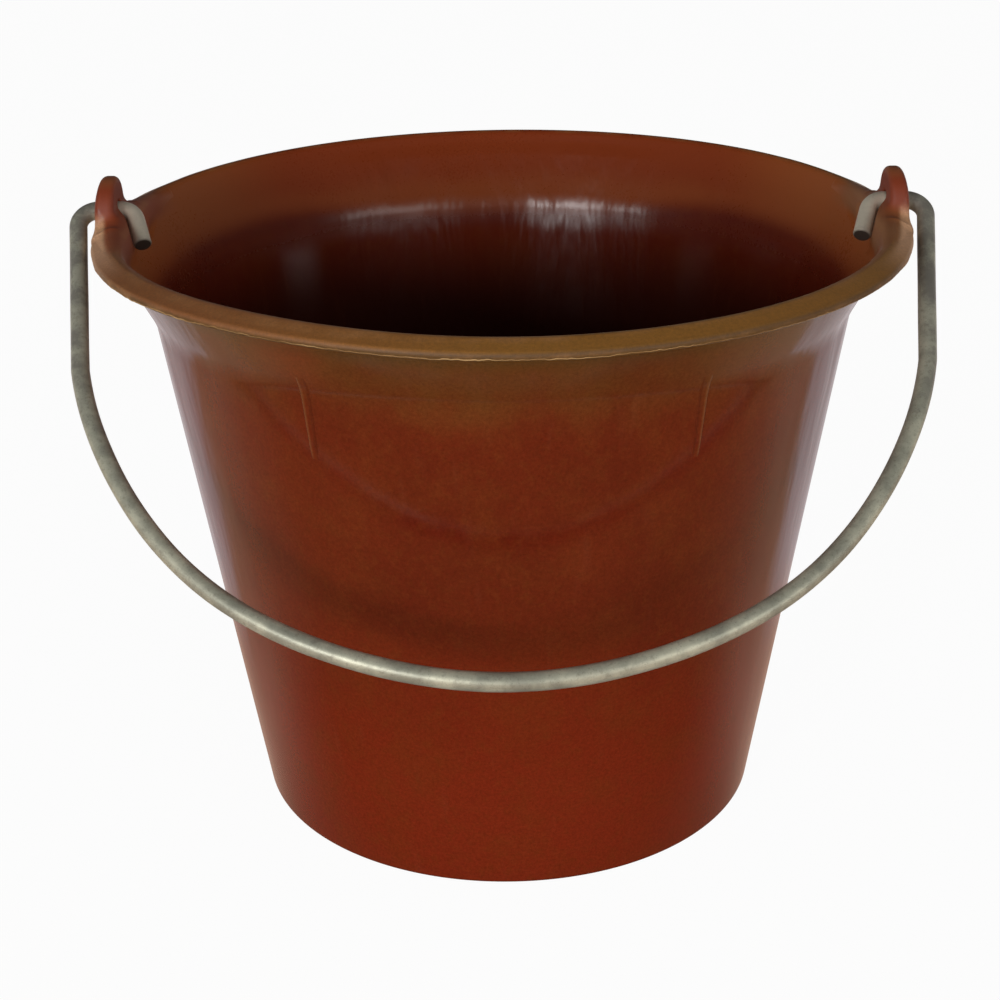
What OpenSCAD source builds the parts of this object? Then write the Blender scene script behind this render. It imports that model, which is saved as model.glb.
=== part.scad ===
// Moulded rubber bucket with a galvanised wire bail. All sizes are in millimetres.
// The origin is the centre of the foot and +Z is up. The bail hangs forwards, on the -Y side,
// and its two hooked ends turn in the ears that stand on the rim at +X and -X.

/* [Bucket] */
// Height from the foot to the top of the rim
bucket_h = 227.5; // [215:0.5:245]
// Outer radius of the rim
rim_r = 150; // [143:0.5:158]
// Outer radius of the wall at the foot
base_r = 97.5; // [90:0.5:104]
// Thickness of the wall and of its flared collar
wall_t = 3; // [2.2:0.1:4]
// Thickness of the floor
floor_t = 3.5; // [2.5:0.1:6]
// Rounding of the corner between the wall and the foot
base_round = 2.5; // [1:0.1:4]
// Rounding inside, where the wall meets the floor
floor_round = 9; // [4:0.5:16]

/* [Foot] */
// Height of the recess under the floor
foot_lift = 3; // [1.5:0.1:6]
// Width of the ring that the bucket stands on
foot_w = 8; // [5:0.5:14]
// Diameter of the moulding gate's stub under the floor
gate_d = 9; // [5:0.5:14]
// Height of the moulding gate's stub
gate_h = 1; // [0.5:0.1:1.4]

/* [Collar and lip] */
// Height of the flared collar, from the knee in the wall to the top of the rim
collar_h = 28; // [24:0.5:34]
// Lean of the collar outwards from upright, in degrees
collar_lean = 28; // [22:0.5:33]
// Rounding of the knee between the wall and the collar, on its inner side
knee_round = 22; // [10:1:30]
// Rounding along the top of the rim
crest_round = 3; // [2.2:0.1:3.6]
// Rounding along the outer edge of the lip
lip_round = 1.8; // [1.2:0.1:2.4]
// Width of the lip, from the middle of its crest to its outer edge
lip_w = 7.2; // [6:0.1:9]
// Depth of the lip, from its crest to its underside
lip_h = 5.8; // [5:0.1:8]
// Rounding under the lip, where it meets the collar
lip_root_round = 1.5; // [0.8:0.1:2.5]

/* [Wall strips] */
// Angle of each strip from the front or the back, in degrees
strip_angle = 31.5; // [20:0.5:45]
// Length of a strip down the wall
strip_l = 37; // [20:1:60]
// Width of a strip where it meets the wall
strip_w = 3.2; // [2:0.1:5]
// How far a strip stands out of the wall
strip_rise = 0.7; // [0.4:0.1:1.2]

/* [Ears] */
// Thickness of an ear
ear_t = 7.2; // [6:0.1:8]
// Width of the ear's ring around its bore
ear_web = 9; // [7:0.1:12]
// Rounding of the ear's edges
ear_round = 2.2; // [1:0.1:2.4]
// How far the ear's middle stands outside the middle of the crest
ear_shift = 2.2; // [1:0.1:3]
// Radius of the hollow curves where the ear runs out into the rim
ear_root_round = 5; // [3:0.5:8]
// Height of the bottom of the bore above the crest
bore_lift = 0.45; // [0.2:0.05:3]

/* [Bail] */
// Diameter of the wire
wire_d = 6.5; // [5:0.1:7.5]
// Clearance all round the wire in the ear's bore
wire_play = 0.3; // [0.2:0.05:0.6]
// Gap between the rim and the wire, at the height of the bores
leg_gap = 3.35; // [2.5:0.05:6]
// Distance from the bores to the middle of the wire at the bottom of the bow
bail_drop = 195; // [185:0.5:215]
// Lean of the legs inwards, towards the bow, in degrees
leg_lean = 6.2; // [2:0.1:8]
// Turn of the slight kink between a leg and the bow, in degrees
kink_turn = 4.9; // [2:0.1:9]
// Bending radius of the kink
kink_round = 15; // [8:1:40]
// Bending radius between a leg and the pin through the ear
elbow_round = 7.1; // [6.5:0.1:8]
// Bending radius of the hook inside the ear
hook_round = 6.5; // [5.5:0.1:8]
// Turn of the hook from the line of the pin, in degrees
hook_turn = 73; // [60:1:78]
// Length of the straight end of the hook
hook_l = 12.5; // [9:0.5:14]
// Gap between the ear's inner face and the start of the hook
hook_gap = 0.3; // [0.2:0.1:1.5]
// Angle of the resting bail below level, in degrees
bail_hang = 36; // [25:1:45]

/* [Hidden] */
$fn = 120;
// Largest step along the rounded stretches of an outline, in degrees
arc_step = 12;
// Length of the sleeves in the wire, how far they stand proud, and how far a run stops short inside one
joint_l = 0.4;
joint_rise = 0.01;
joint_cut = 0.05;
// How far a cutter passes through what it cuts, and a strip sinks into the wall
overlap = 1;

// Middles of the two roundings of the lip, in a plane through the bucket's axis
crest_at = [rim_r - lip_w, bucket_h - crest_round];
lip_at = [rim_r - lip_round, bucket_h - lip_h + lip_round];
lip_reach = norm(lip_at - crest_at);
// Direction of a line square to the sloping band between the two roundings
band_square = atan2(lip_at.y - crest_at.y, lip_at.x - crest_at.x) + acos((crest_round - lip_round) / lip_reach);

// The collar's two faces, on the same slope, that meet the wall's two faces at the knee
knee_z = bucket_h - collar_h;
collar_in_r = crest_at.x - crest_round / cos(collar_lean) - (crest_at.y - knee_z) * tan(collar_lean);
knee_out = [collar_in_r + wall_t / cos(collar_lean), knee_z];
lip_root = [knee_out.x + (bucket_h - lip_h - knee_z) * tan(collar_lean), bucket_h - lip_h];
wall_lean = atan((knee_out.x - base_r) / knee_z);
wall_across = wall_t / cos(wall_lean);
// Height where the wall's inner face meets the collar's inner face
knee_in_z = knee_z + (wall_across - wall_t / cos(collar_lean)) / (tan(wall_lean) - tan(collar_lean));
knee_in = [wall_r(knee_in_z) - wall_across, knee_in_z];
floor_z = foot_lift + floor_t;

// The ear stands on the lip, with the bore's middle just above the crest
bore_r = wire_d / 2 + wire_play;
ear_r = bore_r + ear_web;
pin_z = bucket_h + bore_lift + bore_r;
ear_mid = crest_at.x + ear_shift;
ear_in = ear_mid - ear_t / 2;
ear_foot_z = bucket_h - lip_h + (lip_h - crest_round) / 2;
ear_root_sink = 1.2;
ear_root_z = bucket_h - ear_root_sink + ear_root_round;
ear_root_y = sqrt(pow(ear_r + ear_root_round, 2) - pow(pin_z - ear_root_z, 2));

// The bail's bow and legs, from the width at the ears and the drop
leg_x = rim_r + leg_gap + wire_d / 2;
bow_lean = leg_lean + kink_turn;
elbow_cut = elbow_round * tan((90 + leg_lean) / 2);
rest_x = leg_x - elbow_cut * sin(leg_lean) - kink_round * (cos(leg_lean) - cos(bow_lean));
rest_y = bail_drop - elbow_cut * cos(leg_lean) - kink_round * (sin(bow_lean) - sin(leg_lean));
bow_share = cos(bow_lean) * cos(leg_lean) - (1 - sin(bow_lean)) * sin(leg_lean);
bow_r = (rest_x * cos(leg_lean) - rest_y * sin(leg_lean)) / bow_share;
leg_l = (rest_y * cos(bow_lean) - rest_x * (1 - sin(bow_lean))) / bow_share;
pin_l = leg_x - elbow_cut - (ear_in - hook_gap);

// Outer radius of the wall at a height below the knee
function wall_r(z) = base_r + z * tan(wall_lean);

function unit(v) = v / norm(v);

// Points along an arc, both ends included
function arc(middle, r, from, to) =
    let (steps = max(2, ceil(abs(to - from) / arc_step)))
    [for (i = [0:steps]) let (a = from + (to - from) * i / steps) middle + r * [cos(a), sin(a)]];

// Points along the rounding of the corner b between the sides to a and to c
function rounded(a, b, c, r) =
    let (
        u = unit(a - b),
        v = unit(c - b),
        half = acos(u * v) / 2,
        middle = b + unit(u + v) * r / sin(half),
        p = b + u * r / tan(half) - middle,
        q = b + v * r / tan(half) - middle,
        from = atan2(p.y, p.x),
        swing = atan2(q.y, q.x) - from,
        turn = swing > 180 ? swing - 360 : swing < -180 ? swing + 360 : swing
    )
    arc(middle, r, from, from + turn);

// Half of the bucket's section, from the axis out under the foot, up the outside and back down
module bucket_section() {
    foot_in = [base_r - foot_w, foot_lift];
    foot_toe = [base_r - foot_w, 0];
    foot_edge = [base_r, 0];
    floor_corner = [wall_r(floor_z) - wall_across, floor_z];
    crest_end = crest_at + crest_round * [-cos(collar_lean), sin(collar_lean)];
    polygon(concat(
        [[0, foot_lift]],
        [foot_in, foot_toe],
        rounded(foot_toe, foot_edge, knee_out, base_round),
        rounded(foot_edge, knee_out, lip_root, knee_round + wall_t),
        rounded(knee_out, lip_root, [rim_r, lip_root.y], lip_root_round),
        arc(lip_at, lip_round, -90, band_square),
        arc(crest_at, crest_round, band_square, 180 - collar_lean),
        rounded(crest_end, knee_in, floor_corner, knee_round),
        rounded(knee_in, floor_corner, [0, floor_z], floor_round),
        [[0, floor_z]]
    ));
}

// Low strip with sloping flanks that runs down the outside of the wall from the knee
module wall_strip() {
    strip_top = wall_t;
    translate([knee_out.x, 0, knee_out.y])
        rotate([0, wall_lean, 0])
            translate([0, 0, strip_top - strip_l])
                linear_extrude(strip_l)
                    polygon([
                        [-overlap, -strip_w / 2],
                        [strip_rise, -strip_w / 4],
                        [strip_rise, strip_w / 4],
                        [-overlap, strip_w / 2]
                    ]);
}

// Round plate with rounded edges, about the bore's axis
module ear_ring() {
    edge_z = ear_t / 2 - ear_round;
    rotate([0, 90, 0])
        rotate_extrude()
            polygon(concat(
                [[0, -ear_t / 2]],
                arc([ear_r - ear_round, -edge_z], ear_round, -90, 0),
                arc([ear_r - ear_round, edge_z], ear_round, 0, 90),
                [[0, ear_t / 2]]
            ));
}

// Cutter for the hollow curve at the ear's root, which leaves the same rounded edges
module ear_root_cutter() {
    edge_z = ear_t / 2 - ear_round;
    edge_r = ear_root_round + ear_round;
    rotate([0, 90, 0])
        rotate_extrude()
            polygon(concat(
                [[0, -ear_t / 2 - overlap], [edge_r, -ear_t / 2 - overlap]],
                arc([edge_r, -edge_z], ear_round, 270, 180),
                arc([edge_r, edge_z], ear_round, 180, 90),
                [[edge_r, ear_t / 2 + overlap], [0, ear_t / 2 + overlap]]
            ));
}

// Ear at +X: the ring, cut off inside the lip, and a foot that runs out into the crest on both sides
module ear() {
    difference() {
        translate([ear_mid, 0, pin_z]) ear_ring();
        translate([ear_in - overlap, -ear_r, pin_z - ear_r - overlap])
            cube([ear_t + 2 * overlap, 2 * ear_r, ear_foot_z - (pin_z - ear_r - overlap)]);
    }
    difference() {
        translate([ear_in, -ear_root_y, ear_foot_z])
            cube([ear_t, 2 * ear_root_y, pin_z - ear_foot_z]);
        for (side = [-1, 1])
            translate([ear_mid, side * ear_root_y, ear_root_z]) ear_root_cutter();
    }
}

// The whole moulding: wall, floor, collar and lip in one, with its strips and ears
module bucket() {
    color("#7a2c14")
        difference() {
            union() {
                rotate_extrude() bucket_section();
                translate([0, 0, foot_lift - gate_h]) cylinder(d = gate_d, h = gate_h + overlap);
                for (face = [-90, 90], side = [-1, 1])
                    rotate([0, 0, face + side * strip_angle]) wall_strip();
                for (side = [0, 1])
                    mirror([side, 0, 0]) ear();
            }
            for (side = [0, 1])
                mirror([side, 0, 0])
                    translate([ear_in - overlap, 0, pin_z])
                        rotate([0, 90, 0])
                            cylinder(r = bore_r, h = ear_t + 2 * overlap);
        }
}

// Short sleeve, a hair proud of the wire, that joins two runs of it
module joint() {
    translate([-joint_l / 2, 0, 0])
        rotate([0, 90, 0])
            cylinder(d = wire_d + 2 * joint_rise, h = joint_l);
}

// One straight run of wire along +X, with what follows it as children
module straight(l) {
    translate([joint_cut, 0, 0])
        rotate([0, 90, 0])
            cylinder(d = wire_d, h = l - joint_cut);
    translate([l, 0, 0]) children();
}

// One bend of the wire, from +X towards +Y, with what follows it as children
module bend(r, turn) {
    cut = joint_cut / r * 180 / PI;
    translate([0, r, 0])
        rotate([0, 0, cut - 90])
            rotate_extrude(angle = turn - 2 * cut)
                translate([r, 0]) circle(d = wire_d);
    translate([r * sin(turn), r * (1 - cos(turn)), 0])
        rotate([0, 0, turn]) {
            joint();
            children();
        }
}

// Half of the bail, bent from the bottom of the bow to the hook at +X
module half_bail() {
    translate([0, -bail_drop, 0]) {
        joint();
        bend(bow_r, 90 - bow_lean)
            bend(kink_round, kink_turn)
                straight(leg_l) {
                    joint();
                    bend(elbow_round, 90 + leg_lean)
                        straight(pin_l) {
                            joint();
                            bend(hook_round, hook_turn)
                                straight(hook_l);
                        }
                }
    }
}

// The whole wire, turned about the bores to where it hangs
module bail() {
    color("#8d8c86")
        translate([0, 0, pin_z])
            rotate([bail_hang, 0, 0])
                for (side = [0, 1])
                    mirror([side, 0, 0]) half_bail();
}

bucket();
bail();
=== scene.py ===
import math
import bpy
import numpy as np
from mathutils import Matrix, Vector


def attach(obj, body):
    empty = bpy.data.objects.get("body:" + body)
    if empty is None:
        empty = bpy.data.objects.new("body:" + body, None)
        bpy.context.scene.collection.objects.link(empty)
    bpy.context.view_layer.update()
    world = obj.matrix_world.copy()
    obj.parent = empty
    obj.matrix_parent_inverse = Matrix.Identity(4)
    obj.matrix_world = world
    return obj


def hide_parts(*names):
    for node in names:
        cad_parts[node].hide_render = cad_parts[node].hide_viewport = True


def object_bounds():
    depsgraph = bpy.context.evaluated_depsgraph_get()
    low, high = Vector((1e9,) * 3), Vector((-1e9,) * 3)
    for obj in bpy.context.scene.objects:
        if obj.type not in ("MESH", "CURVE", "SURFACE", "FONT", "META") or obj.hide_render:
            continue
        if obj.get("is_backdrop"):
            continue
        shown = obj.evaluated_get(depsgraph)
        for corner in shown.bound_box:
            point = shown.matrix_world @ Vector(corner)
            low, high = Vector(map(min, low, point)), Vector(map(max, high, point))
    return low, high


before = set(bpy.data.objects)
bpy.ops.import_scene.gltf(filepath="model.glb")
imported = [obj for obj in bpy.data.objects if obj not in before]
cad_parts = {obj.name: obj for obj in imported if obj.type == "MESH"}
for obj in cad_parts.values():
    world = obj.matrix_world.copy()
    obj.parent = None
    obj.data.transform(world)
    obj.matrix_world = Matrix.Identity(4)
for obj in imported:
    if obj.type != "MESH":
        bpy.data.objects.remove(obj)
cad_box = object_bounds()

# The rubber is one red-brown compound, moulded with a satin skin. The lip is a dull ochre and the wall goes
# olive towards it. Colour stands in for light in places: the low wall is painted lighter, the inside is
# painted shade below the knee and painted light above it, the lip's rounding, the wall under the lip and the
# strips' edges carry painted shade and highlights, and the lip by the ears a painted sheen. The crest, the
# parting and the ear tops are rubbed paler. All of it has a fine grain, with long faint marks down the wall
# from the mould. Patterns are in metres, like Object coordinates.


class Flow:
    """A socket in a node tree. Arithmetic on it adds the Math nodes that work it out."""

    def __init__(self, tree, socket=None):
        self.tree = tree
        self.socket = socket

    def node(self, kind, settings=None, inputs=None, output=0):
        """Adds a node, with its settings made first, and gives one of its outputs."""
        made = self.tree.nodes.new(kind)
        for name, value in (settings or {}).items():
            setattr(made, name, value)
        for name, value in (inputs or {}).items():
            if isinstance(value, Flow):
                self.tree.links.new(value.socket, made.inputs[name])
            else:
                made.inputs[name].default_value = value
        return Flow(self.tree, made.outputs[output] if made.outputs else None)

    def other(self, output):
        """Another output of the node that this socket is on."""
        return Flow(self.tree, self.socket.node.outputs[output])

    def maths(self, operation, *others):
        """A Math node on this socket and any others."""
        return self.node("ShaderNodeMath", {"operation": operation}, dict(enumerate((self, *others))))

    def __add__(self, value):
        return self.maths("ADD", value)

    def __sub__(self, value):
        return self.maths("SUBTRACT", value)

    def __rsub__(self, value):
        return self.maths("MULTIPLY_ADD", -1.0, value)

    def __mul__(self, value):
        return self.maths("MULTIPLY", value)

    def __truediv__(self, value):
        return self.maths("DIVIDE", value)

    __radd__ = __add__
    __rmul__ = __mul__

    def rise(self, low, high):
        """Goes smoothly from 0 where this is low to 1 where it is high. Low may be the larger number."""
        sizes = {"Value": self, "From Min": low, "From Max": high}
        return self.node("ShaderNodeMapRange", {"interpolation_type": "SMOOTHSTEP"}, sizes)

    def tint(self, plain, tinted):
        """The colour plain where this is 0 and tinted where it is 1."""
        return self.node("ShaderNodeMix", {"data_type": "RGBA"}, {0: self, 6: plain, 7: tinted}, 2)

    def noise(self, scale, detail=3.0, roughness=0.5):
        """Cloudy noise from 0 to 1 over this vector."""
        sizes = {"Vector": self, "Scale": scale, "Detail": detail, "Roughness": roughness}
        return self.node("ShaderNodeTexNoise", None, sizes)

    def stretched(self, x, y, z):
        """This vector with its three parts scaled."""
        return self.node("ShaderNodeVectorMath", {"operation": "MULTIPLY"}, {0: self, 1: (x, y, z)})


def linear(red, green, blue):
    """A colour as a screen shows it, 0 to 255, in the linear numbers that the shader takes."""
    shares = [value / 255 for value in (red, green, blue)]
    return tuple(s / 12.92 if s <= 0.04045 else ((s + 0.055) / 1.055) ** 2.4 for s in shares) + (1.0,)


def new_material(name):
    """A material with an empty tree, and a first Flow to build the tree from."""
    material = bpy.data.materials.new(name)
    material.use_nodes = True
    material.node_tree.nodes.clear()
    return material, Flow(material.node_tree)


RED_BROWN, RED_DEEP, RED_LOW_PAINTED_LIGHT = linear(96, 30, 11), linear(87, 24, 9), linear(115, 36, 17)
ORANGE, OLIVE, DUSTY = linear(99, 43, 15), linear(88, 55, 22), linear(120, 66, 42)
DEEP_PAINTED_SHADE, KNEE_BROWN = linear(58, 22, 14), linear(130, 62, 26)
FLARE_PAINTED_LIGHT, FLARE_OCHRE = linear(118, 46, 15), linear(144, 80, 34)
LIP_OCHRE, LIP_RED = linear(130, 86, 27), linear(124, 74, 32)
LIP_EDGE_PAINTED_SHADE, UNDER_LIP_PAINTED_SHADE, LIP_PAINTED_SHEEN = linear(88, 57, 12), linear(72, 49, 18), linear(198, 152, 116)
ROOT_BROWN, ROOT_OCHRE, EAR_RED = linear(124, 54, 18), linear(126, 74, 32), linear(118, 42, 5)
PALE_WEAR_AND_HIGHLIGHT, STRIP_PAINTED_SHADE = linear(146, 100, 56), linear(66, 20, 8)
WALL_SLOPE, WALL_FOOT_R = 0.1604, 0.0960
COLLAR_SLOPE, COLLAR_FOOT_R, COLLAR_FOOT_Z = 0.5317, 0.1280, 0.1995
SKIN_HALF = 0.0004
KNEE_DROP, KNEE_DROP_AT_SIDES = 0.003, 0.009

rubber, start = new_material("red_brown_rubber")
place = start.node("ShaderNodeTexCoord", output="Object")
x = place.node("ShaderNodeSeparateXYZ", None, {0: place}, "X")
y, z = x.other("Y"), x.other("Z")
out_from_axis = (x * x + y * y).maths("SQRT")
to_sides, from_ears = x.maths("ABSOLUTE"), y.maths("ABSOLUTE")
wall_middle = z * WALL_SLOPE + WALL_FOOT_R
collar_middle = z * COLLAR_SLOPE + (COLLAR_FOOT_R - COLLAR_SLOPE * COLLAR_FOOT_Z)
outside = (out_from_axis - wall_middle.maths("MAXIMUM", collar_middle)).rise(-SKIN_HALF, SKIN_HALF)
inside = 1 - outside
clouds = place.noise(16.0, 4.0, 0.6)
patches = place.noise(48.0, 4.0, 0.6)
mottle = place.noise(260.0, 4.0, 0.65)
grain = place.noise(900.0, 2.0, 0.6)
specks = place.noise(2600.0, 1.0)
rubbing = place.noise(75.0, 5.0, 0.65)
streaks = place.stretched(1.0, 1.0, 0.07).noise(160.0, 3.0, 0.6)
drawn = place.stretched(1.0, 1.0, 0.22).noise(75.0, 3.0, 0.5)

# Painted light: the low wall is coloured lighter, standing in for light thrown up from the floor.
low_wall_bounce_light = z.rise(0.130, 0.030)
soft_height = z + 0.030 * (clouds - 0.5) + 0.014 * (patches - 0.5)
under_lip = outside * soft_height.rise(0.183, 0.224) * (0.55 + 0.55 * patches)
from_knee = z - KNEE_DROP - KNEE_DROP_AT_SIDES * to_sides.rise(0.03, 0.10)
# Painted shade: the inside below the knee is coloured darker, standing in for the shade deep in the bucket.
painted_shade_deep_inside = inside * from_knee.rise(0.190, 0.150)
# Painted light: the flare above the knee is coloured lighter, standing in for the low light that reaches it.
painted_light_on_flare = inside * from_knee.rise(0.189, 0.199)
# A paler olive-brown band inside, just above the knee.
knee_band = inside * from_knee.rise(0.190, 0.199) * (z - 0.016 * (clouds - 0.5)).rise(0.216, 0.205)
on_crest = z.rise(0.2262, 0.2272) * y.rise(0.08, -0.02)
on_lip = (outside * z.rise(0.2215, 0.2228)).maths("MAXIMUM", on_crest)
# Painted shade: the lip's lower rounding is coloured darker, against the light that falls on it.
painted_shade_on_lip_foot = outside * z.rise(0.2256, 0.2240) * on_lip
# Painted shade: a darker band on the wall right under the lip, where the lip shades it.
in_lip_shade = outside * z.rise(0.2130, 0.2195) * (1 - on_lip)
flare_at_sides = inside * to_sides.rise(0.085, 0.132) * z.rise(0.200, 0.216)
# Painted sheen: the lip's outer rounding beside the ears is coloured pale, standing in for a reflection.
lip_sheen_at_ears = on_lip * from_ears.rise(0.075, 0.030) * out_from_axis.rise(0.1430, 0.1465)
on_root = from_ears.rise(0.052, 0.030) * out_from_axis.rise(0.1460, 0.1440) * z.rise(0.2180, 0.2230)
on_ear = (z + 0.002 * (clouds - 0.5)).rise(0.2275, 0.2345)
# Painted light and shade on the strips' edges: a highlight where the value is above zero, shade where below.
strip_side = place.node("ShaderNodeAttribute", {"attribute_name": "edge_light_and_shade"}, None, "Fac")

wear_and_strip_highlight = z.rise(0.2264, 0.2275) * z.rise(0.2300, 0.2280) * rubbing.rise(0.35, 0.7) * 0.45
ear_wear = z.rise(0.2405, 0.2440) * 0.3
parting_wear = out_from_axis.rise(0.1493, 0.1499) * rubbing.rise(0.4, 0.62) * 0.5
# The pale strip edge is a painted highlight; it joins the real rubbing on the crest, the flash and the ear
# tops.
strip_painted_highlight = strip_side.rise(0.0, 1.0) * 0.24
for more_wear_and_highlight in (ear_wear, parting_wear, strip_painted_highlight):
    wear_and_strip_highlight = wear_and_strip_highlight.maths("MAXIMUM", more_wear_and_highlight)

# Each layer of colour lies over the ones before it: where it is, how strong it is there, and its colour.
layers = [
    (low_wall_bounce_light, 0.8, RED_LOW_PAINTED_LIGHT),
    (patches.rise(0.42, 0.75), 0.4, ORANGE),
    (mottle.rise(0.45, 0.75), 0.35, ORANGE),
    (under_lip, 1.0, OLIVE),
    (painted_shade_deep_inside, 0.9, DEEP_PAINTED_SHADE),
    (painted_light_on_flare, 1.0, FLARE_PAINTED_LIGHT),
    (knee_band, 0.7, KNEE_BROWN),
    (on_lip, 1.0, x.rise(0.02, -0.11).tint(LIP_OCHRE, LIP_RED)),
    (painted_shade_on_lip_foot, 1.0, LIP_EDGE_PAINTED_SHADE),
    (in_lip_shade, 0.6, UNDER_LIP_PAINTED_SHADE),
    (on_lip * rubbing.rise(0.5, 0.75), 0.2, PALE_WEAR_AND_HIGHLIGHT),
    (flare_at_sides, 0.6, FLARE_OCHRE),
    (lip_sheen_at_ears, 0.8, LIP_PAINTED_SHEEN),
    (on_root, 1.0, x.rise(-0.1, 0.1).tint(ROOT_BROWN, ROOT_OCHRE)),
    (on_ear, 1.0, EAR_RED),
    (strip_side.rise(0.0, -1.0), 0.5, STRIP_PAINTED_SHADE),
    (wear_and_strip_highlight, 1.0, PALE_WEAR_AND_HIGHLIGHT),
    (streaks.rise(0.58, 0.8), 0.1, DUSTY),
]
body_colour = clouds.rise(0.32, 0.68).tint(RED_DEEP, RED_BROWN)
for where, strength, colour in layers:
    body_colour = (where * strength).tint(body_colour, colour)
shade = 1.0 + (0.66 * (grain - 0.5) + 0.50 * (specks - 0.5)) * (1 - 0.8 * inside)
grey_shade = shade.node("ShaderNodeCombineColor", None, {0: shade, 1: shade, 2: shade})
body_colour = shade.node(
    "ShaderNodeMix",
    {"data_type": "RGBA", "blend_type": "MULTIPLY"},
    {0: 1.0, 6: body_colour, 7: grey_shade},
    2,
)

dull_lip = 0.5 * on_lip.maths("MAXIMUM", on_root) * (1 - on_ear) + 0.34 * on_ear
dull_inside = inside * (0.14 * z.rise(0.186, 0.196) + 0.06 * z.rise(0.190, 0.110))
rough = 0.12 - 0.03 * outside + 0.05 * (clouds - 0.5) + 0.05 * grain + 0.2 * wear_and_strip_highlight + dull_lip + dull_inside
skin = (grain * 0.4 + specks * 0.2 + streaks * 0.5) * outside
bumps = skin.node("ShaderNodeBump", None, {"Strength": 0.35, "Distance": 0.00012, "Height": skin})
wavy_outside = 0.40 * to_sides.rise(0.075, 0.115) * outside
wavy_inside = inside * to_sides.rise(0.080, 0.050)
wave_height = drawn * (wavy_outside + wavy_inside) * z.rise(0.224, 0.218)
wave_inputs = {"Strength": 1.0, "Distance": 0.0012, "Height": wave_height, "Normal": bumps}
waves = skin.node("ShaderNodeBump", None, wave_inputs)
rubber_surface = place.node(
    "ShaderNodeBsdfPrincipled",
    None,
    {"Base Color": body_colour, "Roughness": rough, "Normal": waves},
)
place.node("ShaderNodeOutputMaterial", None, {"Surface": rubber_surface})

# The shell is the turned part of the moulding: the foot ring round a shallow recess with the gate's stub, the
# wall, the knee, the flared collar and the rounded lip. One closed section goes round the axis, with the same
# sizes as the model, in millimetres.
MM = 0.001
HEIGHT = 227.5
BASE_R = 97.5
RIM_R = 150.0
WALL = 3.0
FOOT_LIFT, FOOT_WIDE, FLOOR_Z = 3.0, 8.0, 6.5
GATE_R, GATE_Z = 4.5, 2.0
COLLAR_LEAN = math.radians(28.0)
LIP_WIDE, LIP_DEEP = 7.2, 5.8
CREST_ROUND, LIP_ROUND = 3.0, 1.8
CREST = np.array([RIM_R - LIP_WIDE, HEIGHT - CREST_ROUND])
LIP = np.array([RIM_R - LIP_ROUND, HEIGHT - LIP_DEEP + LIP_ROUND])
KNEE_ROUND, KNEE_Z = 22.0, 199.5
GATE_ROUND, RECESS_ROUND, RING_ROUND, FOOT_ROUND = 0.3, 1.0, 0.5, 2.5
LIP_ROOT_ROUND, FLOOR_ROUND = 1.5, 9.0
SECTION_STEP = 8.0
SHELL_SEGMENTS = 360
WELD = 0.000002


def arc(middle, radius, start_angle, end_angle, step):
    """Points along an arc of the section. The angles and the step between points are in degrees."""
    count = max(2, math.ceil(abs(end_angle - start_angle) / step))
    angles = np.radians(np.linspace(start_angle, end_angle, count + 1))
    return np.asarray(middle) + radius * np.column_stack([np.cos(angles), np.sin(angles)])


def rounded(before, corner, after, radius, step):
    """Points along the rounding of a corner between the sides to two other points."""
    to_before = (before - corner) / np.linalg.norm(before - corner)
    to_after = (after - corner) / np.linalg.norm(after - corner)
    half = math.acos(float(np.clip(to_before @ to_after, -1, 1))) / 2
    inwards = (to_before + to_after) / np.linalg.norm(to_before + to_after)
    middle = corner + inwards * radius / math.sin(half)
    first = corner + to_before * radius / math.tan(half) - middle
    last = corner + to_after * radius / math.tan(half) - middle
    begin = math.degrees(math.atan2(first[1], first[0]))
    swing = (math.degrees(math.atan2(last[1], last[0])) - begin + 180) % 360 - 180
    return arc(middle, radius, begin, begin + swing, step)


def filled(points, step):
    """The same line with points added along its long straight runs."""
    parts = [points[:1]]
    for a, b in zip(points[:-1], points[1:]):
        count = max(1, math.ceil(np.linalg.norm(b - a) / step))
        parts.append(a + (b - a) * (np.arange(1, count + 1) / count)[:, None])
    return np.vstack(parts)


lip_run = LIP - CREST
lip_reach = float(np.linalg.norm(lip_run))
band_turn = math.atan2(lip_run[1], lip_run[0]) + math.acos((CREST_ROUND - LIP_ROUND) / lip_reach)
band_square = math.degrees(band_turn)
lip_under_z = LIP[1] - LIP_ROUND
collar_in_r = CREST[0] - CREST_ROUND / math.cos(COLLAR_LEAN) - (CREST[1] - KNEE_Z) * math.tan(COLLAR_LEAN)
knee_out = np.array([collar_in_r + WALL / math.cos(COLLAR_LEAN), KNEE_Z])
lip_root = np.array([knee_out[0] + (lip_under_z - KNEE_Z) * math.tan(COLLAR_LEAN), lip_under_z])
wall_slope = (knee_out[0] - BASE_R) / KNEE_Z
wall_across = WALL / math.cos(math.atan(wall_slope))
knee_in_z = KNEE_Z + (wall_across - WALL / math.cos(COLLAR_LEAN)) / (wall_slope - math.tan(COLLAR_LEAN))
knee_in = np.array([BASE_R + knee_in_z * wall_slope - wall_across, knee_in_z])
floor_corner = np.array([BASE_R + FLOOR_Z * wall_slope - wall_across, FLOOR_Z])
foot_corners = np.array(
    [
        [0, GATE_Z],
        [GATE_R, GATE_Z],
        [GATE_R, FOOT_LIFT],
        [BASE_R - FOOT_WIDE, FOOT_LIFT],
        [BASE_R - FOOT_WIDE, 0],
        [BASE_R, 0],
    ]
)
crest_end = CREST + CREST_ROUND * np.array([-math.cos(COLLAR_LEAN), math.sin(COLLAR_LEAN)])
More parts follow.
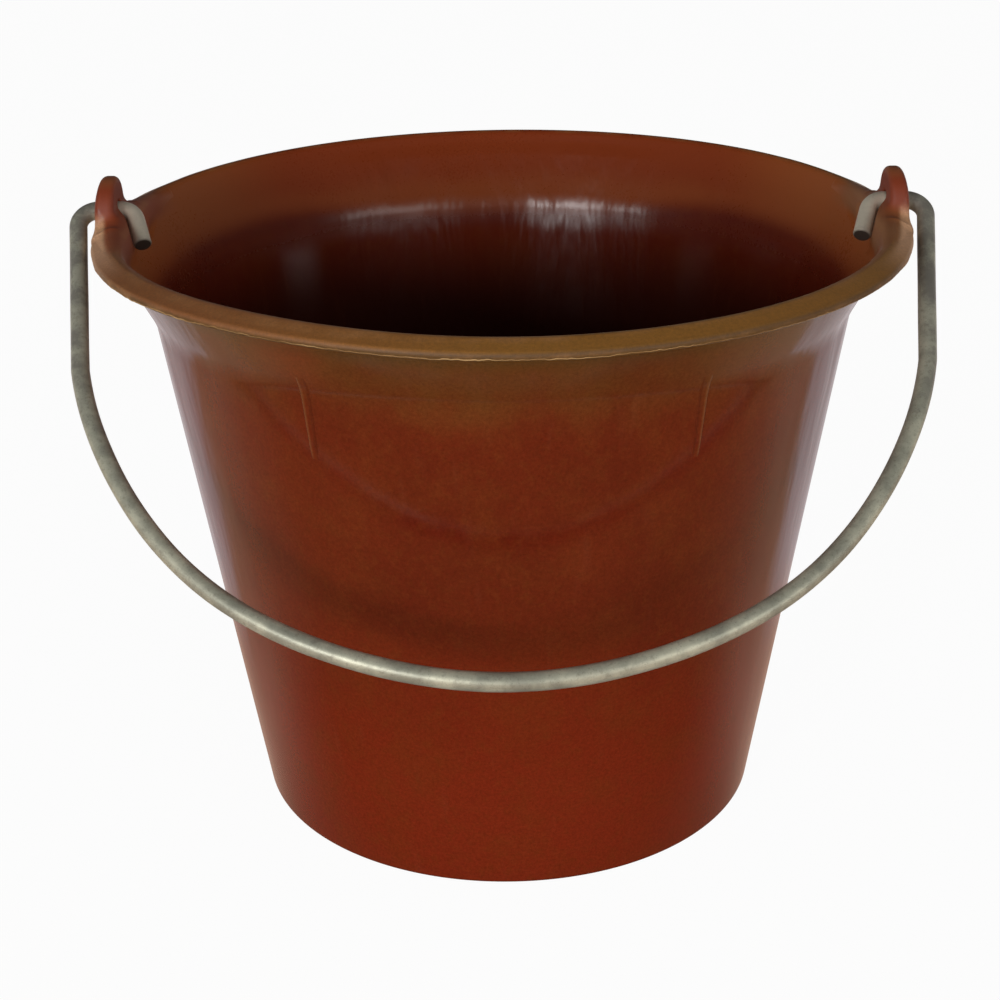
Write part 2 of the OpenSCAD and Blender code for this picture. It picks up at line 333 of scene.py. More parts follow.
section = np.vstack(
    [
        foot_corners[:1],
        rounded(*foot_corners[0:3], GATE_ROUND, 30),
        rounded(*foot_corners[1:4], GATE_ROUND, 30),
        rounded(*foot_corners[2:5], RECESS_ROUND, 15),
        rounded(*foot_corners[3:6], RING_ROUND, 18),
        rounded(foot_corners[4], foot_corners[5], knee_out, FOOT_ROUND, 8),
        rounded(foot_corners[5], knee_out, lip_root, KNEE_ROUND + WALL, 2),
        rounded(knee_out, lip_root, np.array([RIM_R, lip_under_z]), LIP_ROOT_ROUND, 10),
        arc(LIP, LIP_ROUND, -90, band_square, 9),
        arc(CREST, CREST_ROUND, band_square, 180 - math.degrees(COLLAR_LEAN), 7),
        rounded(crest_end, knee_in, floor_corner, KNEE_ROUND, 2),
        rounded(knee_in, floor_corner, np.array([0, FLOOR_Z]), FLOOR_ROUND, 6),
        [[0, FLOOR_Z]],
    ]
)
section = filled(section, SECTION_STEP)


def start_tree(name, sizes):
    """A Geometry Nodes tree with named inputs, given as one Flow for each."""
    tree = bpy.data.node_groups.new(name, "GeometryNodeTree")
    tree.interface.new_socket("Geometry", in_out="INPUT", socket_type="NodeSocketGeometry")
    for label, kind in sizes.items():
        tree.interface.new_socket(label, in_out="INPUT", socket_type="NodeSocket" + kind)
    tree.interface.new_socket("Geometry", in_out="OUTPUT", socket_type="NodeSocketGeometry")
    group = tree.nodes.new("NodeGroupInput")
    return {socket.name: Flow(tree, socket) for socket in group.outputs if socket.name}


def end_tree(shape, material):
    """Makes instances real, gives the material and ends the tree."""
    real = shape.node("GeometryNodeRealizeInstances", None, {"Geometry": shape})
    smooth = shape.node("GeometryNodeSetShadeSmooth", None, {"Geometry": real})
    dressed = shape.node("GeometryNodeSetMaterial", None, {"Geometry": smooth, "Material": material})
    shape.node("NodeGroupOutput", None, {"Geometry": dressed})
    return shape.tree


def plain_object(name, points, edges, faces):
    """A new object from points in millimetres."""
    mesh = bpy.data.meshes.new(name)
    mesh.from_pydata([tuple(p) for p in np.asarray(points) * MM], edges, faces)
    piece = bpy.data.objects.new(name, mesh)
    bpy.context.scene.collection.objects.link(piece)
    return piece


def grow(piece, tree, values):
    """Runs a tree on a piece and leaves the result as its plain mesh."""
    modifier = piece.modifiers.new("grown", "NODES")
    modifier.node_group = tree
    for socket in tree.interface.items_tree:
        if socket.in_out == "INPUT" and socket.name in values:
            modifier[socket.identifier] = values[socket.name]
    bpy.context.view_layer.update()
    graph = bpy.context.evaluated_depsgraph_get()
    grown = piece.evaluated_get(graph)
    mesh = bpy.data.meshes.new_from_object(grown, preserve_all_data_layers=True, depsgraph=graph)
    piece.modifiers.remove(modifier)
    piece.data = mesh
    mesh.name = piece.name
    return piece


def get_points(piece):
    """The piece's points as an array in millimetres."""
    flat = np.empty(len(piece.data.vertices) * 3)
    piece.data.vertices.foreach_get("co", flat)
    return flat.reshape(-1, 3) / MM


def set_points(piece, points):
    """Moves the piece's points to these, in millimetres."""
    piece.data.vertices.foreach_set("co", (points * MM).ravel())
    piece.data.update()


turned = start_tree("turned_moulding", {"Segments": "Int", "Rubber": "Material"})
line = turned["Geometry"]
line_count = line.node("GeometryNodeAttributeDomainSize", None, {"Geometry": line}, "Point Count")
grid_sizes = {"Size X": 1.0, "Size Y": 1.0, "Vertices X": turned["Segments"] + 1, "Vertices Y": line_count}
sheet = line.node("GeometryNodeMeshGrid", None, grid_sizes)
index = line.node("GeometryNodeInputIndex")
station = (index / line_count).maths("FLOOR")
along_section = index - station * line_count
position = line.node("GeometryNodeInputPosition")
section_point = line.node(
    "GeometryNodeSampleIndex",
    {"data_type": "FLOAT_VECTOR"},
    {"Geometry": line, "Value": position, "Index": along_section},
)
section_x = line.node("ShaderNodeSeparateXYZ", None, {0: section_point}, "X")
turn = station / turned["Segments"] * (2 * math.pi)
spun_inputs = {
    "X": section_x * turn.maths("COSINE"),
    "Y": section_x * turn.maths("SINE"),
    "Z": section_x.other("Z"),
}
spun = line.node("ShaderNodeCombineXYZ", None, spun_inputs)
wrapped = line.node("GeometryNodeSetPosition", None, {"Geometry": sheet, "Position": spun})
closed = line.node("GeometryNodeMergeByDistance", None, {"Geometry": wrapped, "Distance": WELD})
shell_tree = end_tree(closed, turned["Rubber"])

section_line = np.column_stack([section[:, 0], np.zeros(len(section)), section[:, 1]])
section_edges = [(i, i + 1) for i in range(len(section) - 1)]
shell = plain_object("bucket_shell", section_line, section_edges, [])
grow(shell, shell_tree, {"Segments": SHELL_SEGMENTS, "Rubber": rubber})


def inside_volume(piece):
    """The volume that the piece's faces close, which is below zero where they point inwards."""
    piece.data.calc_loop_triangles()
    corners = np.empty(len(piece.data.loop_triangles) * 3, np.int32)
    piece.data.loop_triangles.foreach_get("vertices", corners)
    a, b, c = get_points(piece)[corners.reshape(-1, 3)].transpose(1, 0, 2)
    return float(np.einsum("ij,ij->i", a, np.cross(b, c)).sum() / 6)


def point_outwards(piece):
    """Turns the piece's faces outwards where they point inwards."""
    if inside_volume(piece) < 0:
        piece.data.flip_normals()


point_outwards(shell)

# The soft rubber never comes out of the mould quite true: the rim is a little oval, the wall has hollows and
# ripples where thick and thin places shrank, and at the left front the rim has been pushed in and up. Every
# piece of the moulding goes through this, which leaves the ears and their bores where the model has them.
OVAL, OVAL_TURN = 0.5, 0.4
DENT_TURN, DENT_SPREAD = math.radians(-123.0), math.radians(27.0)
DENT_IN, DENT_UP = 1.1, 1.3
RIPPLE, RIPPLE_ORDER, RIPPLE_TWIST = 0.22, 37, 5
RIPPLE_PATCHES, RIPPLE_PATCH_TURN = 9, 2.0
FOOT_HOLDS, EARS_HOLD, EARS_RIPPLE = 25.0, 0.2, 0.55
HOLLOW_SIZES = {3: 0.16, 4: 0.12, 5: 0.12, 7: 0.10, 9: 0.07, 13: 0.05, 17: 0.04, 23: 0.032, 31: 0.022}
PHASES, TWISTS, FLOOR_SHARES = (0, 2 * math.pi), (-1.5, 1.5), (0.3, 1.0)
random = np.random.default_rng(7)
hollows = []
for order, size in HOLLOW_SIZES.items():
    hollows.append((order, size, *(random.uniform(*ends) for ends in (PHASES, TWISTS, FLOOR_SHARES))))


def soften(points):
    """Moves points of the moulding to where the soft bucket has them."""
    angle = np.arctan2(points[:, 1], points[:, 0])
    height = np.clip(points[:, 2] / HEIGHT, 0, 1)
    middle_of_wall = np.sin(math.pi * height) ** 0.5
    away_from_ears = 1 - np.exp(-((np.sin(angle) / EARS_HOLD) ** 2))
    push = OVAL * height**2 * np.sin(2 * angle + OVAL_TURN)
    for order, size, phase, twist, floor_share in hollows:
        strength = size * (floor_share + (1 - floor_share) * height) * middle_of_wall
        push = push + strength * np.sin(order * angle + phase + twist * height * 3)
    towards_ears = np.exp(-((np.sin(angle) / EARS_RIPPLE) ** 2)) * height**1.5
    ripples = RIPPLE * np.sin(RIPPLE_ORDER * angle + RIPPLE_TWIST * height)
    push = push + towards_ears * ripples * np.sin(RIPPLE_PATCHES * angle + RIPPLE_PATCH_TURN)
    dent = np.exp(-(((angle - DENT_TURN) / DENT_SPREAD) ** 2)) * height**2
    push = (push - DENT_IN * dent) * away_from_ears * np.clip(points[:, 2] / FOOT_HOLDS, 0, 1)
    moved = points.copy()
    moved[:, 2] += DENT_UP * dent * away_from_ears
    moved[:, 0] += push * np.cos(angle)
    moved[:, 1] += push * np.sin(angle)
    return moved


set_points(shell, soften(get_points(shell)))
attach(shell, "bucket_body")
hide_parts("bucket")

# The two ears are part of the moulding: round loops with thick rounded edges, narrower towards the top, whose
# roots run out along the inside of the lip, with the bore for the wire through them. Their surface is found
# from distances, so that each one melts into the lip as rubber in a mould does.
EAR_X, EAR_HALF, EAR_ROUND = 145.0, 3.6, 2.2
PIN_Z = 231.5
EAR_R, BORE_R = 12.55, 3.55
EAR_THINS_FROM, EAR_THINS_OVER = 229.0, 15.0
EAR_THINS_OUT, EAR_THINS_IN = 1.5, -0.4
LOOP_ROOT_ROUND, LOOP_ROOT_SINK, EAR_FOOT_Z = 5.0, 1.2, 223.1
ROOT_R, ROOT_Z = 140.8, 224.0
ROOT_THICK, ROOT_THIN = 4.6, 2.4
ROOT_FROM, ROOT_TO = math.radians(4.0), math.radians(21.0)
ROOT_MELTS, EDGE_MELTS = 6.0, 0.9
LIP_MELTS, LIP_MELTS_AT, LIP_MELTS_LEAST = (8.5, 5.0, 1.8), (140.0, 145.5, 149.5), 1.0
WIRE_R = 3.25
EAR_GAP_X, HOOK_ROUND, HOOK_TURN, HOOK_LONG = 141.1, 6.5, 73.0, 12.5
HOOK_CLEAR = 0.25
SKIN_SINK, SKIN_SINKS_ON, SINKS_FROM = 0.03, 0.02, 2.0
SKIN_REACH = 10.0
RIM_ONLY = np.array([110.0, 195.0])
MAP_STEP = 0.1
MAP_LOW = np.array([120.0, 202.0])
MAP_SHAPE = (360, 470)
NET_STEP = 0.5
NET_LOW, NET_HIGH = np.array([118.0, -58.0, 206.0]), np.array([154.0, 58.0, 248.0])
SLOPE_STEP, SETTLE_ROUNDS = 0.02, 4
FAR = 1e9


def line_distance(points, starts, ends):
    """Distance from points of a plane to the nearest of the straight runs between starts and ends."""
    nearest = np.full(len(points), FAR)
    for a, b in zip(starts, ends):
        along = np.clip((points - a) @ (b - a) / ((b - a) @ (b - a)), 0, 1)
        nearest = np.minimum(nearest, np.linalg.norm(points - a - along[:, None] * (b - a), axis=1))
    return nearest


def section_distances(points):
    """Distance from points of the section's plane to its outline by the rim, below zero inside the rubber."""
    starts, ends = section[:-1], section[1:]
    near = (np.maximum(starts, ends) > RIM_ONLY).all(axis=1)
    nearest = line_distance(points, starts[near], ends[near])
    within = np.zeros(len(points), bool)
    for a, b in zip(starts, ends):
        crosses = (a[1] > points[:, 1]) != (b[1] > points[:, 1])
        rise = np.where(b[1] == a[1], 1, b[1] - a[1])
        within ^= crosses & (points[:, 0] < a[0] + (points[:, 1] - a[1]) * (b[0] - a[0]) / rise)
    return np.where(within, -nearest, nearest)


map_axes = [MAP_LOW[i] + MAP_STEP * np.arange(MAP_SHAPE[i]) for i in (0, 1)]
map_r, map_z = np.meshgrid(*map_axes, indexing="ij")
rim_map = section_distances(np.column_stack([map_r.ravel(), map_z.ravel()])).reshape(MAP_SHAPE)


def rim_distance(points):
    """Distance to the turned rim, read off the map of its section."""
    spots = (np.column_stack([np.hypot(points[:, 0], points[:, 1]), points[:, 2]]) - MAP_LOW) / MAP_STEP
    spots = np.clip(spots, 0, np.array(MAP_SHAPE) - 1.001)
    corner = spots.astype(int)
    u, v = (spots - corner).T
    i, j = corner.T
    low = rim_map[i, j] * (1 - u) + rim_map[i + 1, j] * u
    high = rim_map[i, j + 1] * (1 - u) + rim_map[i + 1, j + 1] * u
    return low * (1 - v) + high * v


def melt(a, b, soft):
    """The nearer of two distances, with the hollow between the two shapes filled softly."""
    share = np.clip(soft - np.abs(a - b), 0, None) / soft
    return np.minimum(a, b) - share**2 * soft / 4


def ear_distance(points):
    """Distance to the plate of the ear, with its loop, its foot and its rounded edges, but no bore."""
    root_z = HEIGHT - LOOP_ROOT_SINK + LOOP_ROOT_ROUND
    root_y = math.sqrt((EAR_R + LOOP_ROOT_ROUND) ** 2 - (PIN_Z - root_z) ** 2)
    y_abs, height = np.abs(points[:, 1]), points[:, 2]
    loop = np.hypot(y_abs, height - PIN_Z) - EAR_R
    hollow = LOOP_ROOT_ROUND - np.hypot(y_abs - root_y, height - root_z)
    foot = np.maximum(np.maximum(y_abs - root_y, height - root_z), hollow)
    outline = np.maximum(np.minimum(loop, foot), EAR_FOOT_Z - height) + EAR_ROUND
    upwards = np.clip((height - EAR_THINS_FROM) / EAR_THINS_OVER, 0, 1.1) ** 2
    outer_face = EAR_X + EAR_HALF - EAR_THINS_OUT * upwards
    inner_face = EAR_X - EAR_HALF + EAR_THINS_IN * upwards
    middle, half_wide = (outer_face + inner_face) / 2, (outer_face - inner_face) / 2
    across = np.abs(points[:, 0] - middle) - half_wide + EAR_ROUND
    corner = np.hypot(np.maximum(outline, 0), np.maximum(across, 0))
    return corner + np.minimum(np.maximum(outline, across), 0) - EAR_ROUND


def turn_from_ear(points):
    """The angle round the bucket's axis between points and the middle of the ear."""
    return np.abs(np.arctan2(points[:, 1], points[:, 0]))


def run_out(points):
    """How far the root has run out into the lip: 0 beside the ear and 1 at the root's end."""
    share = np.clip((turn_from_ear(points) - ROOT_FROM) / (ROOT_TO - ROOT_FROM), 0, 1)
    return share * share * (3 - 2 * share)


def root_distance(points):
    """Distance to the root that runs out from the ear along the inside of the lip."""
    fade = run_out(points)
    from_axis = np.hypot(points[:, 0], points[:, 1])
    thick = ROOT_THICK + (ROOT_THIN - ROOT_THICK) * fade
    root = np.hypot(from_axis - ROOT_R - fade, points[:, 2] - ROOT_Z) - thick
    return np.maximum(root, (turn_from_ear(points) - ROOT_TO) * RIM_R)


hook_bend = arc([EAR_GAP_X, HOOK_ROUND], HOOK_ROUND, -90, -90 - HOOK_TURN, 12)
hook_end_way = np.array([-math.cos(math.radians(HOOK_TURN)), math.sin(math.radians(HOOK_TURN))])
hook_line = np.vstack([hook_bend, hook_bend[-1] + HOOK_LONG * hook_end_way])


def hook_distance(points):
    """Distance to all the room that the wire's hook sweeps as the bail swings, with a little to spare."""
    spots = np.column_stack([points[:, 0], np.hypot(points[:, 1], points[:, 2] - PIN_Z)])
    return line_distance(spots, hook_line[:-1], hook_line[1:]) - WIRE_R - HOOK_CLEAR


def ear_surface(points):
    """Distance to the ear where it has melted into the lip, with its bore, close round the ear only."""
    ear = melt(ear_distance(points), root_distance(points), ROOT_MELTS)
    from_axis = np.hypot(points[:, 0], points[:, 1])
    soft = LIP_MELTS_LEAST + np.interp(from_axis, LIP_MELTS_AT, LIP_MELTS) * (1 - run_out(points))
    sunk = SKIN_SINK + SKIN_SINKS_ON * np.clip(ear - SINKS_FROM, 0, None)
    body = melt(ear, rim_distance(points) + sunk, soft)
    bore = np.hypot(points[:, 1], points[:, 2] - PIN_Z) - BORE_R
    bored = -melt(melt(-body, bore, EDGE_MELTS), hook_distance(points), EDGE_MELTS)
    return np.maximum(bored, ear - SKIN_REACH)


def skin_net(distance, low, high, step):
    """A closed mesh of four-sided faces on the surface where the distance is zero: one point in each cell of
    the lattice that the surface cuts, one face for each step of the lattice that crosses it."""
    counts = np.round((high - low) / step).astype(int) + 1
    axes = [low[k] + step * np.arange(counts[k]) for k in range(3)]
    lattice = np.stack(np.meshgrid(*axes, indexing="ij"), axis=-1)
    values = distance(lattice.reshape(-1, 3)).reshape(counts)
    inside = values < 0
    cells = counts - 1
    total = np.zeros((*cells, 3))
    hits = np.zeros(cells)
    corners = [(i, j, k) for i in (0, 1) for j in (0, 1) for k in (0, 1)]
    for a in corners:
        for b in corners:
            if sum(b) - sum(a) != 1 or sum(abs(p - q) for p, q in zip(a, b)) != 1:
                continue
            va, vb = (values[tuple(slice(o, o + n) for o, n in zip(ends, cells))] for ends in (a, b))
            cut = (va < 0) != (vb < 0)
            share = np.where(cut, va / np.where(va == vb, 1, va - vb), 0)
            spot = np.array(a) + share[..., None] * (np.array(b) - np.array(a))
            total += np.where(cut[..., None], spot, 0)
            hits += cut
    used = hits > 0
    number = np.full(cells, -1)
    number[used] = np.arange(used.sum())
    where = np.argwhere(used)
    points = low + step * (where + total[used] / hits[used][:, None])
    faces = []
    for axis in range(3):
        one, two = (axis + 1) % 3, (axis + 2) % 3
        ahead = np.roll(inside, -1, axis)
        changed = np.argwhere(inside != ahead)
        changed = changed[(changed[:, axis] < cells[axis]) & (changed[:, one] > 0) & (changed[:, two] > 0)]
        changed = changed[(changed[:, one] < cells[one]) & (changed[:, two] < cells[two])]
        ring = []
        for step_one, step_two in ((0, 0), (1, 0), (1, 1), (0, 1)):
            cell = changed.copy()
            cell[:, one] -= step_one
            cell[:, two] -= step_two
            ring.append(number[tuple(cell.T)])
        ring = np.column_stack(ring)
        leaves = inside[tuple(changed.T)]
        faces.append(np.where(leaves[:, None], ring, ring[:, ::-1]))
    for _ in range(SETTLE_ROUNDS):
        slopes = [distance(points + e) - distance(points - e) for e in np.eye(3) * SLOPE_STEP]
        slope = np.column_stack(slopes) / (2 * SLOPE_STEP)
        steepness = np.maximum((slope**2).sum(axis=1), 0.25)
        shift = distance(points)[:, None] * slope / steepness[:, None]
        points = points - np.clip(shift, -step / 2, step / 2)
    return points, np.vstack(faces)


net_points, net_faces = skin_net(ear_surface, NET_LOW, NET_HIGH, NET_STEP)
for side, ear_name in ((1, "ear_right"), (-1, "ear_left")):
    mirrored = net_points * np.array([side, 1, 1])
    ear = plain_object(ear_name, mirrored, [], net_faces.tolist())
    point_outwards(ear)
    ear.data.polygons.foreach_set("use_smooth", [True] * len(ear.data.polygons))
    ear.data.materials.append(rubber)
    set_points(ear, soften(get_points(ear)))
    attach(ear, "bucket_body")

# Four low strips run down the outside of the wall from above the knee, moulded with it. Each is a flat ridge
# with soft flanks that follows the wall, and narrows and sinks away downwards. Its edge towards the ear
# carries a painted highlight and the other one painted shade.
STRIP_ANGLE = 30.15
STRIP_LOW, STRIP_HIGH = 167.0, 209.0
STRIP_NARROW, STRIP_WIDE, STRIP_FLANK = 1.0, 1.6, 0.9
STRIP_RISE, STRIP_SINK = 0.42, 0.5
STRIP_ROWS, STRIP_ACROSS = 43, 17
STRIP_GROWS_OVER, STRIP_FADES_FROM = 0.3, 0.65
EDGE_WIDE = 0.45
ABOVE_FOOT = 10.0

up_to_lip = section[: int(np.argmax(section[:, 0]))]
outer_skin = up_to_lip[up_to_lip[:, 1] > ABOVE_FOOT]
flank_steps = np.linspace(-1, 1, STRIP_ACROSS)
strip_points, strip_faces, strip_edge_light_and_shade = [], [], []
for height in np.linspace(STRIP_LOW, STRIP_HIGH, STRIP_ROWS):
    share = (height - STRIP_LOW) / (STRIP_HIGH - STRIP_LOW)
    fading = max(0.0, (share - STRIP_FADES_FROM) / (1 - STRIP_FADES_FROM))
    fade = min(1.0, share / STRIP_GROWS_OVER) * (1 - fading**2)
    flat_half = STRIP_NARROW + (STRIP_WIDE - STRIP_NARROW) * share
    skin_r = np.interp([height - 0.5, height, height + 0.5], outer_skin[:, 1], outer_skin[:, 0])
    lean = math.atan(skin_r[2] - skin_r[0])
    for step in flank_steps:
        on_flank = max(0.0, abs(step) - 0.5) * 2
        bump = 0.5 + 0.5 * math.cos(math.pi * on_flank)
        rise = -STRIP_SINK + (STRIP_SINK + STRIP_RISE) * bump * fade
        side = math.copysign(flat_half * min(1.0, abs(step) * 2) + STRIP_FLANK * on_flank, step)
        strip_points.append((skin_r[1] + rise * math.cos(lean), side, height - rise * math.sin(lean)))
        strip_edge_light_and_shade.append(max(0.0, 1 - abs(abs(step) - 0.5) / EDGE_WIDE) * fade)
for first in range(0, len(strip_points) - STRIP_ACROSS, STRIP_ACROSS):
    after = first + STRIP_ACROSS
    for j in range(STRIP_ACROSS - 1):
        strip_faces.append((first + j, first + j + 1, after + j + 1, after + j))
    strip_faces.append((first, after, after + STRIP_ACROSS - 1, after - 1))
strip_faces.append(tuple(range(STRIP_ACROSS)))
strip_faces.append(tuple(reversed(range(len(strip_points) - STRIP_ACROSS, len(strip_points)))))

strip_tree = start_tree("strips_round_the_wall", {"Strip angle": "Float", "Rubber": "Material"})
one_strip = strip_tree["Geometry"]
marks = one_strip.node("GeometryNodePoints", None, {"Count": 4})
mark = one_strip.node("GeometryNodeInputIndex")
half_turn = (mark / 2).maths("FLOOR")
each_side = (mark - half_turn * 2) * 2 - 1
strip_turn = half_turn * math.pi + math.pi / 2 + each_side * strip_tree["Strip angle"]
strip_turned = one_strip.node("ShaderNodeCombineXYZ", None, {"Z": strip_turn})
four = one_strip.node(
    "GeometryNodeInstanceOnPoints",
    None,
    {"Points": marks, "Instance": one_strip, "Rotation": strip_turned},
)
strips_tree = end_tree(four, strip_tree["Rubber"])
strips = plain_object("wall_strips", strip_points, [], strip_faces)
strips.data.attributes.new("edge_light_and_shade", "FLOAT", "POINT").data.foreach_set("value", strip_edge_light_and_shade)
point_outwards(strips)
grow(strips, strips_tree, {"Strip angle": math.radians(STRIP_ANGLE), "Rubber": rubber})
set_points(strips, soften(get_points(strips)))
# The edge towards the ear keeps its painted highlight, and the other edge turns negative for painted shade.
edge_light_and_shade_at = strips.data.attributes["edge_light_and_shade"].data
edge_light_and_shade = np.empty(len(edge_light_and_shade_at))
edge_light_and_shade_at.foreach_get("value", edge_light_and_shade)
strip_spots = np.abs(get_points(strips))
outer_side = np.degrees(np.arctan2(strip_spots[:, 0], strip_spots[:, 1])) > STRIP_ANGLE
edge_light_and_shade_at.foreach_set("value", edge_light_and_shade * np.where(outer_side, 1.0, -1.0))
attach(strips, "bucket_body")

# A thin ragged flash is left along the lip's lower outer edge, where the two halves of the mould met. It is
# the same rubber, trimmed badly and rubbed pale, so it wanders on the rounding and comes and goes.
FLASH_TURN, FLASH_WANDER = math.radians(-30.0), math.radians(70.0)
FLASH_SUNK, FLASH_THICK = 0.04, 0.33
FLASH_DARK, FLASH_PALE = linear(128, 92, 46), linear(172, 136, 88)

pale_flash, start = new_material("pale_trimmed_flash")
flash_place = start.node("ShaderNodeTexCoord", output="Object")
flash_patches = flash_place.noise(60.0, 4.0, 0.6).rise(0.35, 0.65)
flash_colour = flash_patches.tint(FLASH_DARK, FLASH_PALE)
flash_grain = flash_place.noise(1500.0, 2.0)
flash_surface = flash_place.node(
    "ShaderNodeBsdfPrincipled",
    None,
    {"Base Color": flash_colour, "Roughness": 0.5 + 0.15 * flash_grain},
)
flash_place.node("ShaderNodeOutputMaterial", None, {"Surface": flash_surface})

flash_values = {
    "Lip radius": LIP[0] * MM,
    "Lip height": LIP[1] * MM,
    "Rounding": (LIP_ROUND - FLASH_SUNK) * MM,
    "Turn": FLASH_TURN,
    "Wander": FLASH_WANDER,
    "Thickness": FLASH_THICK * MM,
    "Seed": 3.0,
    "Rubber": pale_flash,
}
flash_sockets = {name: "Material" if name == "Rubber" else "Float" for name in flash_values}
flash_in = start_tree("ragged_flash", flash_sockets)
circle = {"Resolution": 2400, "Radius": 1.0}
ring = flash_in["Geometry"].node("GeometryNodeCurvePrimitiveCircle", None, circle)
spot = ring.node("GeometryNodeInputPosition")


def round_noise(scale, detail):
    """Noise from 0 to 1 round the lip."""
    values = {"Vector": spot, "W": flash_in["Seed"], "Scale": scale, "Detail": detail}
    return ring.node("ShaderNodeTexNoise", {"noise_dimensions": "4D"}, values)


slow, fast = round_noise(4.5, 2.0), round_noise(45.0, 5.0)
round_turn = flash_in["Turn"] + flash_in["Wander"] * ((fast - 0.5) + (slow - 0.5) * 0.8)
flash_r = flash_in["Lip radius"] + flash_in["Rounding"] * round_turn.maths("COSINE")
spot_x = ring.node("ShaderNodeSeparateXYZ", None, {0: spot}, "X")
on_lip_inputs = {
    "X": spot_x * flash_r,
    "Y": spot_x.other("Y") * flash_r,
    "Z": flash_in["Lip height"] + flash_in["Rounding"] * round_turn.maths("SINE"),
}
on_rounding = ring.node("ShaderNodeCombineXYZ", None, on_lip_inputs)
ragged = ring.node("GeometryNodeSetPosition", None, {"Geometry": ring, "Position": on_rounding})
stub = ring.node("GeometryNodeCurvePrimitiveCircle", None, {"Resolution": 6, "Radius": flash_in["Thickness"]})
stub_size = 0.2 + 0.8 * slow.rise(0.36, 0.58) * fast.rise(0.25, 0.6)
fin = ring.node("GeometryNodeCurveToMesh", None, {"Curve": ragged, "Profile Curve": stub, "Scale": stub_size})
flash_tree = end_tree(fin, flash_in["Rubber"])
flash = plain_object("lip_flash", [(0, 0, 0)], [], [])
grow(flash, flash_tree, flash_values)
point_outwards(flash)
set_points(flash, soften(get_points(flash)))
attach(flash, "bucket_body")

# The bail is one length of 6.5 mm galvanised wire, bent cold: a bow, a slight kink at each end of it, two
# legs, an elbow above each leg, a pin through the ear and a hook inside it, with sawn ends. Its zinc is
# blotchy and has gone dull on the legs. The hooks are rubbed bright and carry painted light on top of that.
DROP, HANG = 195.0, math.radians(36.0)
LEG_X, LEG_LEAN, KINK_TURN = 156.6, 6.2, 4.9
KINK_ROUND, ELBOW_ROUND = 15.0, 7.1
WIRE_SIDES = 28
CHAMFER, CHAMFER_IN = 0.7, 0.16
WOBBLES_BELOW, WOBBLES_FULLY = 45.0, 105.0
WOBBLE_FLAT = ((0.35, 31.0, 1.0), (0.25, 17.0, 2.1))
WOBBLE_OUT = ((0.5, 43.0, 0.4), (0.2, 19.0, 0.0))
GIRTH_VARIES, GIRTH_WAVE, GIRTH_FROM = 0.006, 5.3, 40.0
SAWN_REACH = 0.9

lean, bow_lean = math.radians(LEG_LEAN), math.radians(LEG_LEAN + KINK_TURN)
elbow_cut = ELBOW_ROUND * math.tan((math.pi / 2 + lean) / 2)
rest_x = LEG_X - elbow_cut * math.sin(lean) - KINK_ROUND * (math.cos(lean) - math.cos(bow_lean))
rest_y = DROP - elbow_cut * math.cos(lean) - KINK_ROUND * (math.sin(bow_lean) - math.sin(lean))
share = math.cos(bow_lean) * math.cos(lean) - (1 - math.sin(bow_lean)) * math.sin(lean)
bow_r = (rest_x * math.cos(lean) - rest_y * math.sin(lean)) / share
leg_long = (rest_y * math.cos(bow_lean) - rest_x * (1 - math.sin(bow_lean))) / share
pin_long = LEG_X - elbow_cut - EAR_GAP_X

# From the middle of the bow outwards: a bend's radius and degrees, or a straight run's length, and the steps.
bends = [
    (bow_r, 90 - math.degrees(bow_lean), 70),
    (KINK_ROUND, KINK_TURN, 3),
    (None, leg_long, 20),
    (ELBOW_ROUND, 90 + LEG_LEAN, 30),
    (None, pin_long, 6),
    (HOOK_ROUND, HOOK_TURN, 26),
    (None, HOOK_LONG - CHAMFER, 7),
    (None, CHAMFER, 2),
]
at, heading = np.array([0.0, -DROP]), 0.0
half = [at.copy()]
for radius, amount, count in bends:
    for _ in range(count):
        if radius is None:
            at = at + amount / count * np.array([math.cos(heading), math.sin(heading)])
        else:
            turn_step = math.radians(amount) / count
            chord, chord_way = 2 * radius * math.sin(turn_step / 2), heading + turn_step / 2
            at = at + chord * np.array([math.cos(chord_way), math.sin(chord_way)])
            heading += turn_step
        half.append(at.copy())
half = np.array(half)
flat = np.vstack([half[::-1] * np.array([-1, 1]), half[1:]])
reach = np.concatenate([[0], np.cumsum(np.linalg.norm(np.diff(flat, axis=0), axis=1))])
wobble_room = np.clip((-flat[:, 1] - WOBBLES_BELOW) / (WOBBLES_FULLY - WOBBLES_BELOW), 0, 1)
wobble = sum(size * np.sin(reach / long + phase) for size, long, phase in WOBBLE_FLAT)
out_of_plane = wobble_room * sum(size * np.sin(reach / long + phase) for size, long, phase in WOBBLE_OUT)
flat = flat + (wobble_room * wobble)[:, None] * flat / np.linalg.norm(flat, axis=1)[:, None]
wire_path = np.column_stack(
    [
        flat[:, 0],
        flat[:, 1] * math.cos(HANG) - out_of_plane * math.sin(HANG),
        PIN_Z + flat[:, 1] * math.sin(HANG) + out_of_plane * math.cos(HANG),
    ]
)

ZINC_DARK, ZINC_LIGHT = linear(152, 152, 137), linear(195, 194, 173)
ZINC_STAIN, ZINC_PIT = linear(132, 127, 113), linear(90, 84, 74)
ZINC_DULL, ZINC_RUBBED_AND_LIT, SAWN_END = linear(128, 123, 116), linear(230, 214, 194), linear(70, 58, 50)

